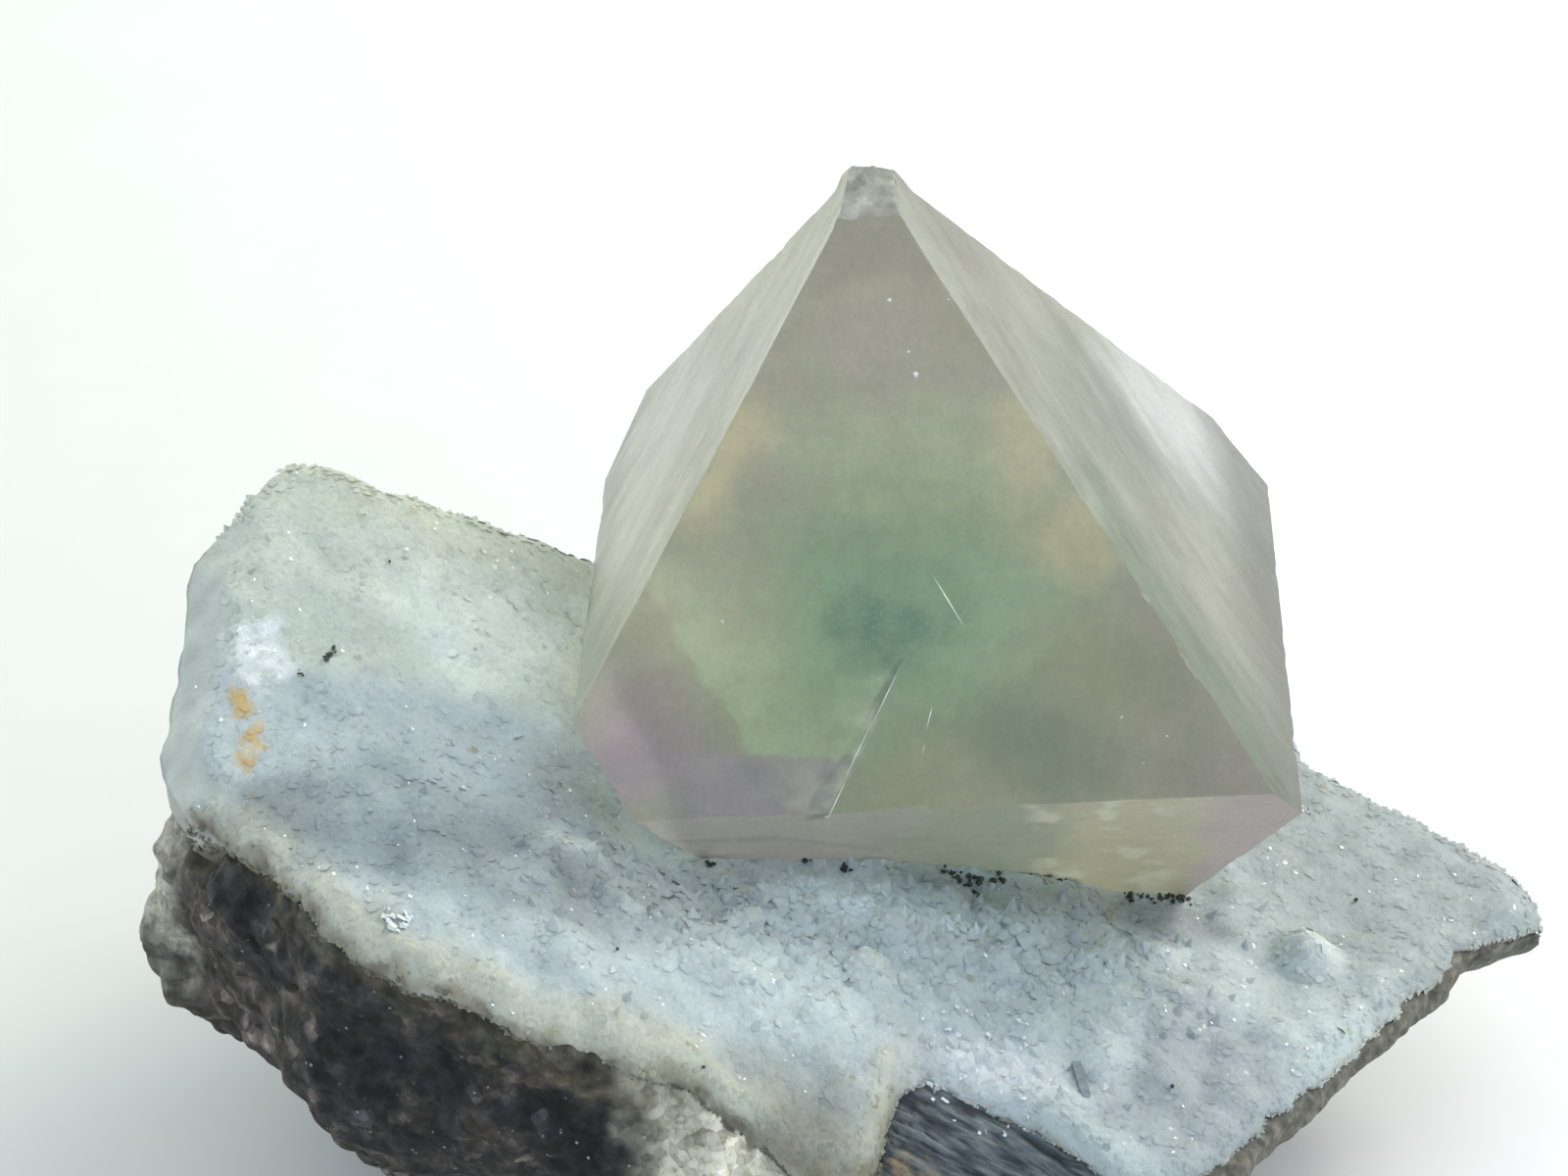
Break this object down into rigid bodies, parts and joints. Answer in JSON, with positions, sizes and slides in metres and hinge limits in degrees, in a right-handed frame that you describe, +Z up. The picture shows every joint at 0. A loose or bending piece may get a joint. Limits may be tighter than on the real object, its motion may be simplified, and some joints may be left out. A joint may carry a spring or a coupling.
{
  "type": "fluorite specimen",
  "caption": "Natural mineral specimen: a frosted green-cored octahedral fluorite crystal on a sugary quartz crust over a dark gneiss and schist matrix, resting on its flat underside.",
  "frame": {"origin": "middle of the specimen's bounding box, on the surface it rests on", "axes": "+Z up, +X to the right along the long side of the matrix, -Y to the front, where the crystal's broad face looks"},
  "size_m": [0.0535, 0.043, 0.0377],
  "materials": {
    "fluorite": "frosted translucent fluorite, pale mauve-grey with a green core",
    "quartz_druse": "sugary bluish-white quartz druse with sparkling tips",
    "dark_rock": "rough broken gneiss and foliated schist, dark grey-brown"
  },
  "bodies": {
    "root": {"fluorite_crystal": "fluorite", "quartz_crust": "quartz_druse", "matrix_rock": "dark_rock"}
  },
  "joints": []
}
